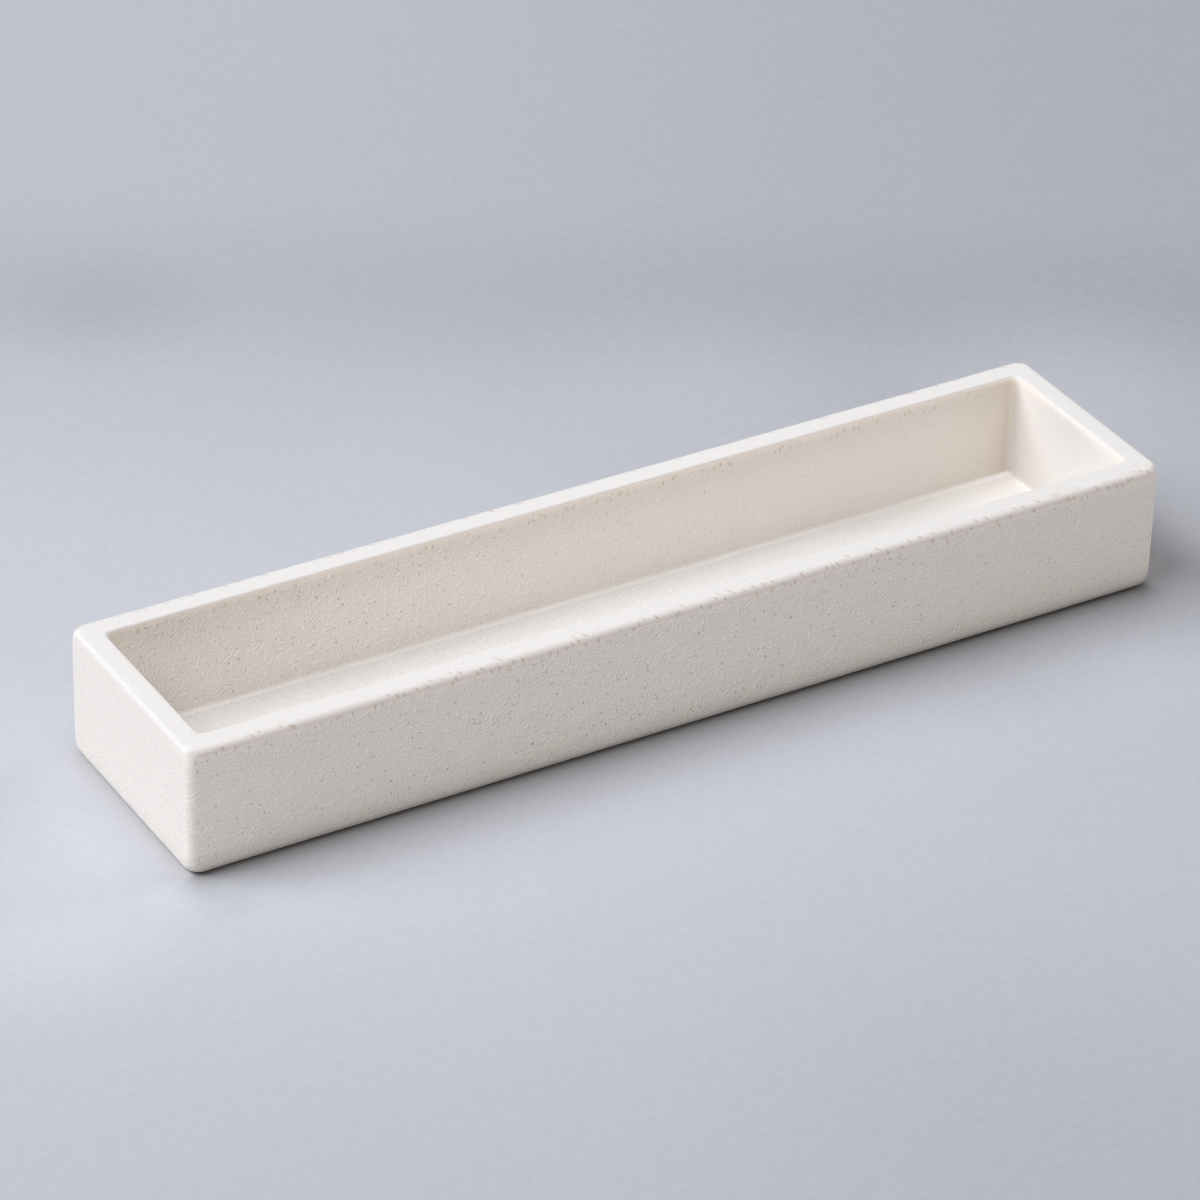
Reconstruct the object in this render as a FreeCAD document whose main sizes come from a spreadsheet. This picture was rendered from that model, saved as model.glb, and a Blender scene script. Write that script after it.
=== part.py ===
import FreeCAD, Part
import math
import os

import Sketcher

# Magnesia ceramic boat: a long open trough, pressed and fired as one piece, that
# carries a sample into a furnace. It stands on its flat base with its length along X.
# The origin is the centre of the base and +Z is up. Sizes are in millimetres and
# the draft of the cavity is in degrees.

SIZES = (
    ("boat_length", 100.0),
    ("boat_width", 23.0),
    ("boat_height", 12.75),
    ("side_wall", 2.5),
    ("end_wall", 2.35),
    ("floor_thickness", 2.1),
    ("outer_corner_radius", 1.15),
    ("cavity_corner_radius", 0.7),
    ("rim_outer_radius", 0.75),
    ("rim_inner_radius", 0.25),
    ("base_edge_radius", 1.0),
    ("cavity_floor_radius", 0.4),
    ("cavity_draft", 0.5),
)

# A round never takes more than this share of the wall or corner that it runs on.
ROUND_SHARE = 0.45
FLOOR_SHARE = 0.6
CORNER_SHARE = 0.9

# Two heights or places closer than this are the same one.
SAME_PLACE = 1e-4

# The four corners of a rounded rectangle: the signs of X and Y, and the first angle.
CORNERS = ((1, -1, 1.5), (1, 1, 0.0), (-1, 1, 0.5), (-1, -1, 1.0))


def make_sheet(document):
    """Fill the sheet of driving sizes, one plain number to each named cell."""
    sheet = document.addObject("Spreadsheet::Sheet", "Sizes")
    for row, (alias, value) in enumerate(SIZES, start=1):
        cell = f"A{row}"
        sheet.set(cell, str(value))
        sheet.setAlias(cell, alias)
    document.recompute()
    return sheet


def origin_plane(body, role):
    """Find one of the body's own origin planes by its role."""
    for feature in body.Origin.OriginFeatures:
        if feature.Role == role:
            return feature
    raise RuntimeError(f"the body has no {role}")


def rounded_rectangle(body, name, length, width, radius):
    """Sketch a rectangle with rounded corners, centred on the origin.

    length, width and radius are pairs of a first value and the expression that drives it.
    """
    sketch = body.newObject("Sketcher::SketchObject", name)
    sketch.AttachmentSupport = (origin_plane(body, "XY_Plane"), [""])
    sketch.MapMode = "FlatFace"
    half_x = length[0] / 2
    half_y = width[0] / 2
    corner = radius[0]
    up = FreeCAD.Vector(0, 0, 1)

    arcs = []
    for sign_x, sign_y, first in CORNERS:
        centre = FreeCAD.Vector(sign_x * (half_x - corner), sign_y * (half_y - corner), 0)
        start = first * math.pi
        circle = Part.Circle(centre, up, corner)
        arcs.append(Part.ArcOfCircle(circle, start, start + math.pi / 2))
    sides = []
    for index, arc in enumerate(arcs):
        sides.append(Part.LineSegment(arcs[index - 1].EndPoint, arc.StartPoint))
    sketch.addGeometry(sides + arcs, False)

    # The sides are 0 front, 1 right, 2 back and 3 left, and arc 4 + n ends side n.
    for side in range(4):
        sketch.addConstraint(Sketcher.Constraint("Tangent", side, 2, 4 + side, 1))
        sketch.addConstraint(Sketcher.Constraint("Tangent", 4 + side, 2, (side + 1) % 4, 1))
    for side in (0, 2):
        sketch.addConstraint(Sketcher.Constraint("Horizontal", side))
    for side in (1, 3):
        sketch.addConstraint(Sketcher.Constraint("Vertical", side))
    for arc in (5, 6, 7):
        sketch.addConstraint(Sketcher.Constraint("Equal", 4, arc))
    sketch.addConstraint(Sketcher.Constraint("Symmetric", 0, 1, 2, 1, -1, 1))

    drives = (
        ("length", Sketcher.Constraint("DistanceX", 3, 1, 1, 1, length[0]), length[1]),
        ("width", Sketcher.Constraint("DistanceY", 0, 1, 2, 1, width[0]), width[1]),
        ("radius", Sketcher.Constraint("Radius", 4, corner), radius[1]),
    )
    for drive, constraint, expression in drives:
        index = sketch.addConstraint(constraint)
        sketch.renameConstraint(index, drive)
        sketch.setExpression(f"Constraints.{drive}", expression)
    return sketch


def edges_at(feature, height, wanted):
    """Name the feature's edges that lie at one height and inside or outside a limit."""
    names = []
    for index, edge in enumerate(feature.Shape.Edges, start=1):
        box = edge.BoundBox
        level = abs(box.ZMin - height) < SAME_PLACE and abs(box.ZMax - height) < SAME_PLACE
        if level and wanted(edge.CenterOfMass):
            names.append(f"Edge{index}")
    if not names:
        raise RuntimeError(f"{feature.Name} has no edges at height {height}")
    return names


def add_round(body, name, base, edges, expression):
    """Round a loop of edges with a radius that an expression drives."""
    fillet = body.newObject("PartDesign::Fillet", name)
    fillet.Base = (base, edges)
    fillet.setExpression("Radius", expression)
    body.Document.recompute()
    return fillet


def make_boat(document, sheet):
    """Build the boat: a block, its cavity, then the rounds of the rim, floor and base."""
    body = document.addObject("PartDesign::Body", "Boat")
    body.Label = "boat"

    outline = rounded_rectangle(
        body,
        "OuterOutline",
        (sheet.boat_length, "Sizes.boat_length"),
        (sheet.boat_width, "Sizes.boat_width"),
        (sheet.outer_corner_radius, "Sizes.outer_corner_radius"),
    )
    block = body.newObject("PartDesign::Pad", "Block")
    block.Profile = outline
    block.setExpression("Length", "Sizes.boat_height")
    document.recompute()

    mouth = rounded_rectangle(
        body,
        "CavityMouth",
        (sheet.boat_length - 2 * sheet.end_wall, "Sizes.boat_length - 2 * Sizes.end_wall"),
        (sheet.boat_width - 2 * sheet.side_wall, "Sizes.boat_width - 2 * Sizes.side_wall"),
        (sheet.cavity_corner_radius, "Sizes.cavity_corner_radius"),
    )
    mouth.setExpression("AttachmentOffset.Base.z", "Sizes.boat_height")
    cavity = body.newObject("PartDesign::Pocket", "Cavity")
    cavity.Profile = mouth
    cavity.Reversed = False
    cavity.setExpression("Length", "Sizes.boat_height - Sizes.floor_thickness")
    cavity.setExpression("TaperAngle", "-Sizes.cavity_draft")
    document.recompute()

    # The cavity's edges lie inside a box that runs through the middle of the walls.
    reach_x = (sheet.boat_length - sheet.end_wall) / 2
    reach_y = (sheet.boat_width - sheet.side_wall) / 2

    def inside(point):
        return abs(point.x) < reach_x and abs(point.y) < reach_y

    def outside(point):
        return not inside(point)

    thin_wall = "min(Sizes.side_wall; Sizes.end_wall)"
    wall_limit = f"{ROUND_SHARE} * {thin_wall}"
    outer_limit = f"{CORNER_SHARE} * Sizes.outer_corner_radius"
    inner_limit = f"{CORNER_SHARE} * Sizes.cavity_corner_radius"

    floor_round = add_round(
        body,
        "FloorRound",
        cavity,
        edges_at(cavity, sheet.floor_thickness, inside),
        f"min(Sizes.cavity_floor_radius; {FLOOR_SHARE} * Sizes.cavity_corner_radius)",
    )
    inner_rim = add_round(
        body,
        "InnerRimRound",
        floor_round,
        edges_at(floor_round, sheet.boat_height, inside),
        f"min(Sizes.rim_inner_radius; {wall_limit})",
    )
    outer_rim = add_round(
        body,
        "OuterRimRound",
        inner_rim,
        edges_at(inner_rim, sheet.boat_height, outside),
        f"min(Sizes.rim_outer_radius; {wall_limit}; {outer_limit})",
    )
    base_round = add_round(
        body,
        "BaseRound",
        outer_rim,
        edges_at(outer_rim, 0.0, outside),
        f"min(Sizes.base_edge_radius; {outer_limit}; {ROUND_SHARE} * Sizes.boat_height)",
    )
    body.Tip = base_round
    body.Placement = FreeCAD.Placement(FreeCAD.Vector(0, 0, 0), FreeCAD.Rotation())
    document.recompute()
    if cavity.Shape.Volume >= block.Shape.Volume:
        raise RuntimeError("the cavity cuts nothing")
    return body


def check(document, bodies):
    """Stop if any object failed, or if a body has no sound solid."""
    for item in document.Objects:
        if "Invalid" in item.State or "Error" in item.State:
            raise RuntimeError(f"{item.Name} failed: {item.State}")
    for body in bodies:
        shape = body.Shape
        if shape.isNull() or not shape.isValid() or len(shape.Solids) != 1:
            raise RuntimeError(f"{body.Label} is not one sound solid")


def main():
    """Build the document, test it and write one file for each piece."""
    document = FreeCAD.newDocument("CeramicBoat")
    sheet = make_sheet(document)
    bodies = [make_boat(document, sheet)]
    check(document, bodies)
    os.makedirs("parts", exist_ok=True)
    for body in bodies:
        body.Shape.exportStep(f"parts/{body.Label}.step")
        box = body.Shape.optimalBoundingBox(True, False)
        print(body.Label, "volume", round(body.Shape.Volume, 2), "mm3")
        print("size", round(box.XLength, 3), round(box.YLength, 3), round(box.ZLength, 3))


main()
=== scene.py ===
import logging
import math
from dataclasses import dataclass, field, replace
from enum import Enum

import bpy
import numpy as np
from mathutils import Matrix, Vector


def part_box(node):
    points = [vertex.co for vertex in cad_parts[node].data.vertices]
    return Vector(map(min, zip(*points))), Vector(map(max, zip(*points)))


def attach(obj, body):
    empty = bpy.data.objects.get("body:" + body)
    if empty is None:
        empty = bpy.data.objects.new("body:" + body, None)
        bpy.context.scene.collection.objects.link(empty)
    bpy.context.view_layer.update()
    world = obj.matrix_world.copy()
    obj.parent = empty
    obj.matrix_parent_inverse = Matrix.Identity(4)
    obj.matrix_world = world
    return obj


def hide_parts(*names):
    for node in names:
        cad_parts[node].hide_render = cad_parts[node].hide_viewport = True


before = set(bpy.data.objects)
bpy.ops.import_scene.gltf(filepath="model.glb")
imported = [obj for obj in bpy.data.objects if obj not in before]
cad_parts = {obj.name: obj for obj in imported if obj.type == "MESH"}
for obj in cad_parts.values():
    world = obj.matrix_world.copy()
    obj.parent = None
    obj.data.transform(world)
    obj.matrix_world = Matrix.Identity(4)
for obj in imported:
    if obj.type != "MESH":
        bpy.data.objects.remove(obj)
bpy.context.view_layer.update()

# The ceramic boat: one trough, pressed and fired whole, on a plain pale floor.
# Lengths are in metres. Patterns on the ceramic are measured in millimetres.

MM = 0.001
PER_MM = 1000.0

# The least length that a value is divided by, in millimetres.
TINY = 0.001

# The way in which a pattern is shifted to set it apart from another.
SHIFT_WAY = (1.0, 0.7, 1.3)

Colour = tuple[float, float, float, float]
Socket = bpy.types.NodeSocket

log = logging.getLogger("ceramic_boat")


class Band(Enum):
    """The bands of the trough's section, from the middle of the base up, over and in."""

    UNDERSIDE = 0
    BASE_ROUND = 1
    OUTER_WALL = 2
    OUTER_RIM = 3
    RIM_TOP = 4
    INNER_RIM = 5
    CAVITY_WALL = 6
    FLOOR_ROUND = 7
    CAVITY_FLOOR = 8


@dataclass(frozen=True)
class Face:
    """How one band looks: its colour, and how smooth the pressing left it (1 is a bare, even face)."""

    tint: Colour
    smoothness: float


# Painted light in the tints: each band's tint was set for the light it gets, so the brightly lit rim is
# painted greyer than the outer walls in shade.
OUTER_TINT = (0.938, 0.885, 0.821, 1.0)
CAVITY_TINT = (0.82, 0.779, 0.733, 1.0)
FLOOR_TINT = (0.908, 0.897, 0.888, 1.0)
RIM_TINT = (0.79, 0.774, 0.765, 1.0)
CREASE_HIGHLIGHT_TINT = (1.0, 0.99, 0.98, 1.0)

# Painted glow: a wall is painted paler just under the rim, standing in for light that soaks a little way
# into the body.
OUTER_GLOW = (1.05, 1.04, 1.03, 1.0)
CAVITY_GLOW = (1.22, 1.19, 1.17, 1.0)
GLOW_REACH = 0.42 * MM
RIM_BLEND = 2.0

# Painted warm light: the long outer rims are painted warmer where they turn down into shade: what each
# colour loses, most of it half way round. At the ends the painted glow under the rim is a little weaker.
PAINTED_RIM_WARMTH = (0.035, 0.09, 0.11)
PAINTED_WARMTH_PEAK = 4.0
END_GLOW_DROP = 0.04

# The painted highlight along the cavity floor's crease fills this share of the round's height.
CREASE_HEIGHT = 0.75
CREASE_BLEND = 1.5

# The rim is a shade greyer towards the near right, and the cavity floor paler to the right.
RIM_DRIFT = 0.042
RIM_DRIFT_TURN = 1.5
FLOOR_DRIFT = 0.055

FACES = {
    Band.UNDERSIDE: Face(OUTER_TINT, 0.2),
    Band.BASE_ROUND: Face(OUTER_TINT, 0.3),
    Band.OUTER_WALL: Face(OUTER_TINT, 0.0),
    Band.OUTER_RIM: Face(RIM_TINT, 0.85),
    Band.RIM_TOP: Face(RIM_TINT, 0.86),
    Band.INNER_RIM: Face(RIM_TINT, 0.8),
    Band.CAVITY_WALL: Face(CAVITY_TINT, 0.0),
    Band.FLOOR_ROUND: Face(CREASE_HIGHLIGHT_TINT, 0.7),
    Band.CAVITY_FLOOR: Face(FLOOR_TINT, 0.58),
}

# The end walls came out a little smoother than the long ones. Their greyer tints are painted light:
# set for the stronger light that falls on the ends.
END_SMOOTHNESS = 0.48
OUTER_END_TINT = (0.922, 0.879, 0.824, 1.0)
CAVITY_END_TINT = (0.756, 0.73, 0.707, 1.0)
END_TINTS = {
    Band.BASE_ROUND: OUTER_END_TINT,
    Band.OUTER_WALL: OUTER_END_TINT,
    Band.CAVITY_WALL: CAVITY_END_TINT,
}

# Painted light and shade: across an upright outer corner the long wall's side is painted darker and the
# end's side paler, so the tone turns from the long wall's to the end's a little faster than its round.
PAINTED_CORNER_CONTRAST = 0.25

# The grain is finer towards the far corner, and a little finer at the near end too. Each pair
# is a place along that way and the share of the grain that is missing there.
CALM_WAY = (0.44, 0.72, 0.0)
CALM = ((-24.0 * MM, 0.18), (-12.0 * MM, 0.0), (-5.0 * MM, 0.0), (20.0 * MM, 0.72))

# The upright outer corners are rounder near the floor and near the rim: by how much, and how far
# from it that begins.
FOOT_GROWTH = 0.55 * MM
FOOT_GROWTH_REACH = 2.2 * MM
RIM_GROWTH = 0.45 * MM
RIM_GROWTH_REACH = 2.5 * MM

# The long base edges and the ends of the rim are a little sharper than the other rounds.
LONG_FOOT_GAIN = 0.11 * MM
END_RIM_GAIN = 0.2 * MM

# Nicks stand under the long rims, down to this far, and fewer of them along the upright corners.
NICK_REACH = 0.9 * MM
CORNER_NICKS = 0.8

# The outer walls darken towards the floor, down to a faint line just above a paler foot. Each
# pair is a height and how much of the colour is lost there on a long wall.
FOOT_SHADES = (
    (0.3 * MM, 0.0),
    (0.6 * MM, 0.27),
    (0.8 * MM, 0.19),
    (1.35 * MM, 0.11),
    (2.4 * MM, 0.02),
    (5.0 * MM, 0.0),
)
END_FOOT_SHARE = 0.25


@dataclass(frozen=True)
class Shade:
    """A darker part that fades away from a corner: how much it takes off each colour, and its reach."""

    depth: tuple[float, float, float]
    reach: float


# The upright inner corners are darker: a narrow line in each, and a wide shade at the far end.
CREASE_SHADE = Shade((0.09, 0.12, 0.16), 0.8 * MM)
END_CREASE_SHADE = Shade((0.45, 0.45, 0.45), 0.9 * MM)
FAR_SHADE = Shade((0.17, 0.21, 0.26), 4.4 * MM)

# Painted light and shade: beyond its crease the far end wall is painted paler, and both far walls get
# painted shade that deepens towards the floor.
FAR_GLOW = Shade((-0.38, -0.38, -0.38), 3.0 * MM)
FAR_DEEP_SHADE = Shade((0.05, 0.05, 0.05), 15.0 * MM)


@dataclass(frozen=True)
class Ring:
    """One closed line round the trough: a rounded rectangle at one height."""

    half_x: float
    half_y: float
    corner: float
    height: float
    band: Band


@dataclass(frozen=True)
class Mottle:
    """A soft random change of tone. Its size is the width of a blot, in millimetres."""

    size: float
    shift: float
    gain: float
    detail: float = 0.0


@dataclass
class Wiring:
    """Adds nodes to one tree and joins their sockets."""

    tree: bpy.types.NodeTree

    def node(self, kind: str, inputs: dict | None = None, **settings: object) -> bpy.types.Node:
        """Add a node.

        Args:
            kind: the node's type name.
            inputs: socket name or index to a constant or to a socket that feeds it.
            settings: the node's own settings.

        Returns:
            The new node.
        """
        made = self.tree.nodes.new(kind)
        for name, value in settings.items():
            setattr(made, name, value)
        for name, value in (inputs or {}).items():
            if isinstance(value, Socket):
                self.tree.links.new(value, made.inputs[name])
            else:
                made.inputs[name].default_value = value
        return made

    def math(self, operation: str, first: object, second: object = 0.0) -> Socket:
        """Work out one value from two, by the named operation."""
        return self.node("ShaderNodeMath", {0: first, 1: second}, operation=operation).outputs[0]

    def plus(self, first: object, second: object) -> Socket:
        """Add two values."""
        return self.math("ADD", first, second)

    def minus(self, first: object, second: object) -> Socket:
        """Take the second value from the first."""
        return self.math("SUBTRACT", first, second)

    def times(self, first: object, second: object) -> Socket:
        """Multiply two values."""
        return self.math("MULTIPLY", first, second)

    def over(self, first: object, second: object) -> Socket:
        """Divide the first value by the second."""
        return self.math("DIVIDE", first, second)

    def at_least(self, value: object, least: float) -> Socket:
        """Keep a value from falling under the least one."""
        return self.math("MAXIMUM", value, least)

    def vector(self, operation: str, first: object, second: object) -> Socket:
        """Work out one vector from two, by the named operation."""
        made = self.node("ShaderNodeVectorMath", {0: first, 1: second}, operation=operation)
        return made.outputs["Vector"]

    def length(self, operation: str, first: object, second: object) -> Socket:
        """Work out one value from two vectors, by the named operation."""
        made = self.node("ShaderNodeVectorMath", {0: first, 1: second}, operation=operation)
        return made.outputs["Value"]

    def scaled(self, vector: object, share: object) -> Socket:
        """Multiply a vector by one value."""
        made = self.node("ShaderNodeVectorMath", {0: vector, "Scale": share}, operation="SCALE")
        return made.outputs["Vector"]

    def fade(
        self, value: Socket, start: object, end: object, low: float = 0.0, high: float = 1.0
    ) -> Socket:
        """Turn a value into a smooth step.

        Args:
            value: the value to read.
            start: where the step begins.
            end: where the step ends.
            low: the result before the step.
            high: the result after the step.

        Returns:
            The socket that holds the step.
        """
        settings = {"Value": value, "From Min": start, "From Max": end, "To Min": low, "To Max": high}
        made = self.node("ShaderNodeMapRange", settings, interpolation_type="SMOOTHSTEP")
        return made.outputs["Result"]

    def mottled(self, place: Socket, mottle: Mottle) -> Socket:
        """Add a soft random pattern about zero.

        Args:
            place: the position, in millimetres.
            mottle: the pattern's size, shift, detail and gain.

        Returns:
            The socket that holds the pattern, times its gain.
        """
        moved = self.vector("ADD", place, [mottle.shift * share for share in SHIFT_WAY])
        settings = {"Vector": moved, "Scale": 1.0 / mottle.size, "Detail": mottle.detail}
        noise = self.node("ShaderNodeTexNoise", settings).outputs[0]
        return self.times(self.minus(noise, 0.5), mottle.gain)

    def wander(self, place: Socket, scale: float, push: float, dimensions: str) -> Socket:
        """Move a position about at random, so that a pattern on it isn't regular.

        Args:
            place: the position.
            scale: how many waves it makes to a millimetre, about.
            push: how far it moves from one extreme to the other.
            dimensions: 2D or 3D.

        Returns:
            The socket that holds the moved position.
        """
        settings = {"Vector": place, "Scale": scale, "Detail": 0.0}
        noise = self.node("ShaderNodeTexNoise", settings, noise_dimensions=dimensions)
        centred = self.vector("ADD", noise.outputs["Color"], (-0.5, -0.5, -0.5))
        return self.vector("ADD", place, self.scaled(centred, push))

    def scatter(self, place: Socket, spacing: Socket, dimensions: str) -> tuple[Socket, Socket]:
        """Scatter points at random.

        Args:
            place: the position.
            spacing: how far apart the points are, about.
            dimensions: 2D or 3D.

        Returns:
            The distance to the nearest point, and that point's own random colour.
        """
        settings = {"Vector": place, "Scale": self.over(1.0, spacing), "Randomness": 1.0}
        cells = self.node("ShaderNodeTexVoronoi", settings, voronoi_dimensions=dimensions)
        return self.times(cells.outputs["Distance"], spacing), cells.outputs["Color"]

    def mix(self, share: Socket, first: Socket, second: Colour) -> Socket:
        """Lay a share of a second colour over the first."""
        made = self.node("ShaderNodeMix", {0: share, 6: first, 7: second}, data_type="RGBA")
        return made.outputs[2]

    def layer(self, group: bpy.types.NodeTree, place: Socket, sizes: object) -> Socket:
        """Place a pattern group with one layer's own sizes.

        Args:
            group: the pattern's group.
            place: the position, in millimetres.
            sizes: the layer, whose fields have the names of the group's sockets.

        Returns:
            The group's output.
        """
        made = self.node("ShaderNodeGroup", {"Place": place, **named(sizes)}, node_tree=group)
        return made.outputs[0]


def named(sizes: object) -> dict[str, object]:
    """Give the fields of a dataclass the names of the sockets that they feed."""
    return {name.replace("_", " ").capitalize(): value for name, value in vars(sizes).items()}


def add_socket(tree: bpy.types.NodeTree, name: str, kind: str, way: str, value: object = None) -> None:
    """Give a node group one named socket.

    Args:
        tree: the group.
        name: the socket's name.
        kind: Float, Vector, Geometry or Material.
        way: INPUT or OUTPUT.
        value: the socket's first value, if it has one.
    """
    made = tree.interface.new_socket(name=name, in_out=way, socket_type=f"NodeSocket{kind}")
    if value is not None:
        made.default_value = value


@dataclass(frozen=True)
class TroughSizes:
    """The boat's own sizes. The overall ones come from the boat's part in model.glb."""

    length: float
    width: float
    height: float
    side_wall: float = 2.5 * MM
    end_wall: float = 2.35 * MM
    floor: float = 2.1 * MM
    outer_corner: float = 1.15 * MM
    cavity_corner: float = 0.7 * MM
    outer_rim: float = 0.75 * MM
    inner_rim: float = 0.25 * MM
    base_edge: float = 1.0 * MM
    floor_round: float = 0.4 * MM
    draft: float = math.radians(0.5)


@dataclass
class Trough:
    """The trough's skin: rings of four-sided faces from the base over the rim to the floor."""

    sizes: TroughSizes
    step: float = 0.36 * MM
    arc_steps: int = 4
    base_steps: int = 8
    rim_steps: int = 7
    top_steps: int = 5
    small_steps: int = 4
    rings: list[Ring] = field(default_factory=list)

    def add_line(self, band: Band, start: Ring, end: Ring, steps: int) -> None:
        """Add evenly spaced rings from one ring to another, without the first.

        Args:
            band: the band that they belong to.
            start: the ring before the first new one.
            end: the last new ring.
            steps: how many rings to add.
        """
        first = np.array([start.half_x, start.half_y, start.corner, start.height])
        last = np.array([end.half_x, end.half_y, end.corner, end.height])
        for index in range(1, steps + 1):
            middle = first + (last - first) * (index / steps)
            self.rings.append(Ring(*middle.tolist(), band))

    def add_arc(
        self, band: Band, centre: Ring, radius: float, start: float, turn: float, steps: int
    ) -> None:
        """Add rings along a round of the section, without the first.

        Args:
            band: the band that they belong to.
            centre: the ring through the centres of the round.
            radius: the radius of the round.
            start: the angle of the first point, 0 facing out and a quarter turn facing up.
            turn: the angle that the round covers.
            steps: how many rings to add.
        """
        for index in range(1, steps + 1):
            angle = start + turn * index / steps
            out = radius * math.cos(angle)
            up = radius * math.sin(angle)
            places = (centre.half_x + out, centre.half_y + out, centre.corner + out, centre.height + up)
            self.rings.append(Ring(*places, band))

    def settle_edges(self) -> None:
        """Round the upright outer corners near the floor and the rim, and sharpen two pairs of edges."""
        s = self.sizes
        outer = (Band.UNDERSIDE, Band.BASE_ROUND, Band.OUTER_WALL, Band.OUTER_RIM)
        for index, ring in enumerate(self.rings):
            if ring.band not in outer:
                continue
            low = max(0.0, 1.0 - ring.height / FOOT_GROWTH_REACH)
            high = max(0.0, 1.0 - (s.height - ring.height) / RIM_GROWTH_REACH)
            growth = FOOT_GROWTH * low**2 + RIM_GROWTH * high**2
            foot = max(0.0, 1.0 - ring.height / s.base_edge)
            rim = max(0.0, 1.0 - (s.height - ring.height) / s.outer_rim)
            self.rings[index] = replace(
                ring,
                half_x=ring.half_x + END_RIM_GAIN * rim**2,
                half_y=ring.half_y + LONG_FOOT_GAIN * foot**2,
                corner=ring.corner + growth,
            )

    def lay_rings(self) -> None:
        """Lay all the rings of the section, from the edge of the underside to the cavity floor."""
        s = self.sizes
        quarter = math.pi / 2
        half_x = s.length / 2
        half_y = s.width / 2
        base = s.base_edge
        rim = s.outer_rim
        wall_steps = round((s.height - base - rim) / self.step)
        self.rings = [Ring(half_x - base, half_y - base, s.outer_corner - base, 0.0, Band.UNDERSIDE)]

        base_centre = Ring(half_x - base, half_y - base, s.outer_corner - base, base, Band.BASE_ROUND)
        self.add_arc(Band.BASE_ROUND, base_centre, base, -quarter, quarter, self.base_steps)
        wall_top = Ring(half_x, half_y, s.outer_corner, s.height - rim, Band.OUTER_WALL)
        self.add_line(Band.OUTER_WALL, self.rings[-1], wall_top, wall_steps)
        rim_centre = Ring(half_x - rim, half_y - rim, s.outer_corner - rim, s.height - rim, Band.OUTER_RIM)
        self.add_arc(Band.OUTER_RIM, rim_centre, rim, 0.0, quarter, self.rim_steps)

        mouth_x = half_x - s.end_wall
        mouth_y = half_y - s.side_wall
        lip = s.inner_rim
        lip_turn = quarter - s.draft
        lip_out = lip * math.tan(lip_turn / 2)
        lip_centre = Ring(
            mouth_x + lip_out, mouth_y + lip_out, s.cavity_corner + lip_out, s.height - lip, Band.INNER_RIM
        )
        lip_top = Ring(lip_centre.half_x, lip_centre.half_y, lip_centre.corner, s.height, Band.RIM_TOP)
        self.add_line(Band.RIM_TOP, self.rings[-1], lip_top, self.top_steps)
        self.add_arc(Band.INNER_RIM, lip_centre, lip, quarter, lip_turn, self.small_steps)

        foot = s.floor_round
        sink = s.height - s.floor
        narrowing = sink * math.tan(s.draft)
        foot_in = foot * math.tan(lip_turn / 2)
        foot_centre = Ring(
            mouth_x - narrowing - foot_in,
            mouth_y - narrowing - foot_in,
            s.cavity_corner - narrowing - foot_in,
            s.floor + foot,
            Band.FLOOR_ROUND,
        )
        reach = foot * math.cos(s.draft)
        drop = foot * math.sin(s.draft)
        foot_top = Ring(
            foot_centre.half_x + reach,
            foot_centre.half_y + reach,
            foot_centre.corner + reach,
            foot_centre.height - drop,
            Band.CAVITY_WALL,
        )
        cavity_steps = round((self.rings[-1].height - foot_top.height) / self.step)
        self.add_line(Band.CAVITY_WALL, self.rings[-1], foot_top, cavity_steps)
        self.add_arc(Band.FLOOR_ROUND, foot_centre, foot, -s.draft, -lip_turn, self.small_steps)
        self.settle_edges()

    def ring_counts(self) -> tuple[int, int]:
        """Count the steps along the long and the short side of every ring."""
        s = self.sizes
        along = round((s.length - 2 * s.outer_corner) / self.step) + 2 * self.arc_steps
        across = round((s.width - 2 * s.outer_corner) / self.step) + 2 * self.arc_steps
        return along, across

    def ring_points(self, ring: Ring) -> np.ndarray:
        """Place the points of one ring, anticlockwise from the middle of its first corner.

        Args:
            ring: the ring to place.

        Returns:
            One row of x, y and z to each point.
        """
        along, across = self.ring_counts()
        turn = np.linspace(0.0, math.pi / 4, self.arc_steps + 1)
        sides = []
        for side in range(4):
            reach, depth, count = ring.half_x, ring.half_y, along
            if side % 2 == 1:
                reach, depth, count = ring.half_y, ring.half_x, across
            straight = reach - ring.corner
            flat = np.linspace(-straight, straight, count - 2 * self.arc_steps + 1)
            first_x = -straight - ring.corner * np.sin(math.pi / 4 - turn)
            first_y = -(depth - ring.corner) - ring.corner * np.cos(math.pi / 4 - turn)
            last_x = straight + ring.corner * np.sin(turn)
            last_y = -(depth - ring.corner) - ring.corner * np.cos(turn)
            x = np.concatenate([first_x[:-1], flat, last_x[1:-1]])
            y = np.concatenate([first_y[:-1], np.full(len(flat), -depth), last_y[1:-1]])
            cosine = round(math.cos(side * math.pi / 2))
            sine = round(math.sin(side * math.pi / 2))
            sides.append(np.stack([x * cosine - y * sine, x * sine + y * cosine], axis=1))
        flat_ring = np.concatenate(sides)
        return np.column_stack([flat_ring, np.full(len(flat_ring), ring.height)])

    def fill_points(self, edge: np.ndarray) -> np.ndarray:
        """Fill a ring with a grid of points that follows its outline.

        Args:
            edge: the ring's points.

        Returns:
            A grid of points, indexed by the step across and the step along, edge included.
        """
        along, across = self.ring_counts()
        front = edge[: along + 1]
        right = edge[along : along + across + 1]
        back = edge[along + across : 2 * along + across + 1][::-1]
        left = np.vstack([edge[2 * along + across :], edge[:1]])[::-1]
        u = np.linspace(0.0, 1.0, along + 1)[None, :, None]
        v = np.linspace(0.0, 1.0, across + 1)[:, None, None]
        walls = (1 - v) * front[None] + v * back[None] + (1 - u) * left[:, None] + u * right[:, None]
        corners = (
            (1 - u) * (1 - v) * front[0]
            + u * (1 - v) * front[-1]
            + (1 - u) * v * back[0]
            + u * v * back[-1]
        )
        return walls - corners

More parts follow.
